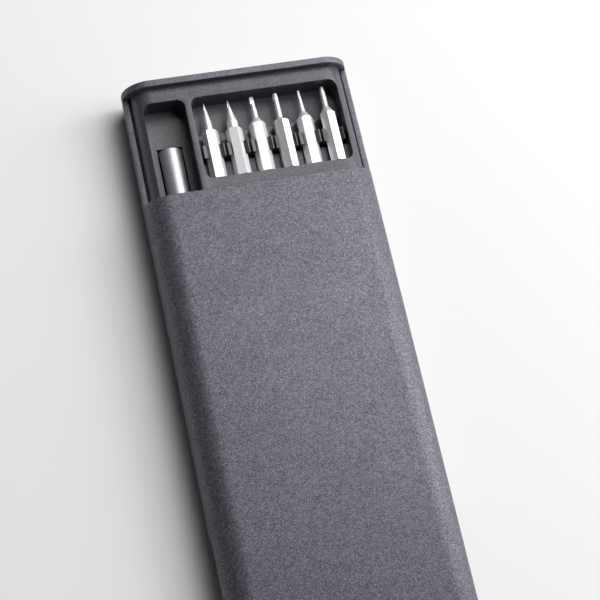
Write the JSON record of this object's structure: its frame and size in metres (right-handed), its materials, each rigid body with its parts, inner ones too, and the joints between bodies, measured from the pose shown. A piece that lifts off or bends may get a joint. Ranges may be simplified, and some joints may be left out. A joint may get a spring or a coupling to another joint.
{
  "type": "precision screwdriver set",
  "caption": "Flat pocket case with a sliding cover over rows of small hexagonal screwdriver bits held in clip strips, and a pen-sized driver with a magnetic socket beside them.",
  "frame": {"origin": "centre of the underside of the set as pictured, with the cover slid part way open; the surface it lies on is Z = 0", "axes": "+Z out of the face with the sliding cover, +Y along the case towards the fixed end cap, +X across the case, away from the driver"},
  "size_m": [0.063, 0.1556, 0.0152],
  "materials": {
    "cover_metal": "satin",
    "case_metal": "satin",
    "tray_plastic": "matte",
    "clip_plastic": "gloss",
    "bit_steel": "polished",
    "driver_metal": "satin",
    "magnet": "polished",
    "bearing_plastic": "matte",
    "screw_steel": "satin"
  },
  "bodies": {
    "case": {"case_shell": "case_metal", "end_cap": "case_metal", "bit_tray": "tray_plastic", "tray_screws": "screw_steel", "clip_strip_1": "clip_plastic", "clip_strip_2": "clip_plastic", "clip_strip_3": "clip_plastic", "clip_strip_4": "clip_plastic", "bit_cross_1": "bit_steel", "bit_slotted_2_0": "bit_steel", "bit_slotted_3_0": "bit_steel", "bit_star_2": "bit_steel", "bit_star_3": "bit_steel", "bit_star_4": "bit_steel", "bit_star_8": "bit_steel", "bit_star_10": "bit_steel", "bit_hex_0_9": "bit_steel", "bit_hex_1_3": "bit_steel", "bit_hex_1_5": "bit_steel", "bit_hex_2_0": "bit_steel", "bit_five_lobe_0_8": "bit_steel", "bit_five_lobe_1_2": "bit_steel", "bit_three_wing_0": "bit_steel", "bit_triangle_2_3": "bit_steel", "bit_fork_2_6": "bit_steel", "bit_nut_socket_2_5": "bit_steel", "driver_nose": "driver_metal", "socket_magnet": "magnet", "driver_barrel": "driver_metal", "tail_bearing": "bearing_plastic", "tail_pin": "screw_steel"},
    "cover": {"sliding_cover": "cover_metal", "cover_end_wall": "cover_metal"},
    "tail_cap": {"driver_tail_cap": "driver_metal"},
    "bit_cross_00": {"bit_cross_00": "bit_steel"},
    "bit_cross_0": {"bit_cross_0": "bit_steel"},
    "bit_slotted_1_5": {"bit_slotted_1_5": "bit_steel"},
    "bit_star_6": {"bit_star_6": "bit_steel"},
    "bit_cross_000": {"bit_cross_000": "bit_steel"},
    "bit_star_5": {"bit_star_5": "bit_steel"}
  },
  "joints": [
    {"name": "cover_slide", "type": "slide", "parent": "case", "child": "cover", "axis": [0, -1, 0], "range_m": [-0.0316, 0.082]},
    {"name": "bit_cross_00_lift", "type": "slide", "parent": "case", "child": "bit_cross_00", "axis": [0, 0, 1], "range_m": [0, 0.014]},
    {"name": "bit_cross_0_lift", "type": "slide", "parent": "case", "child": "bit_cross_0", "axis": [0, 0, 1], "range_m": [0, 0.014]},
    {"name": "bit_slotted_1_5_lift", "type": "slide", "parent": "case", "child": "bit_slotted_1_5", "axis": [0, 0, 1], "range_m": [0, 0.014]},
    {"name": "bit_star_6_lift", "type": "slide", "parent": "case", "child": "bit_star_6", "axis": [0, 0, 1], "range_m": [0, 0.014]},
    {"name": "bit_cross_000_lift", "type": "slide", "parent": "case", "child": "bit_cross_000", "axis": [0, 0, 1], "range_m": [0, 0.014]},
    {"name": "bit_star_5_lift", "type": "slide", "parent": "case", "child": "bit_star_5", "axis": [0, 0, 1], "range_m": [0, 0.014]},
    {"name": "tail_cap_spin", "type": "hinge", "parent": "case", "child": "tail_cap", "pos_m": [-0.0213, -0.02915, 0.00695], "axis": [0, 1, 0], "continuous": true}
  ]
}
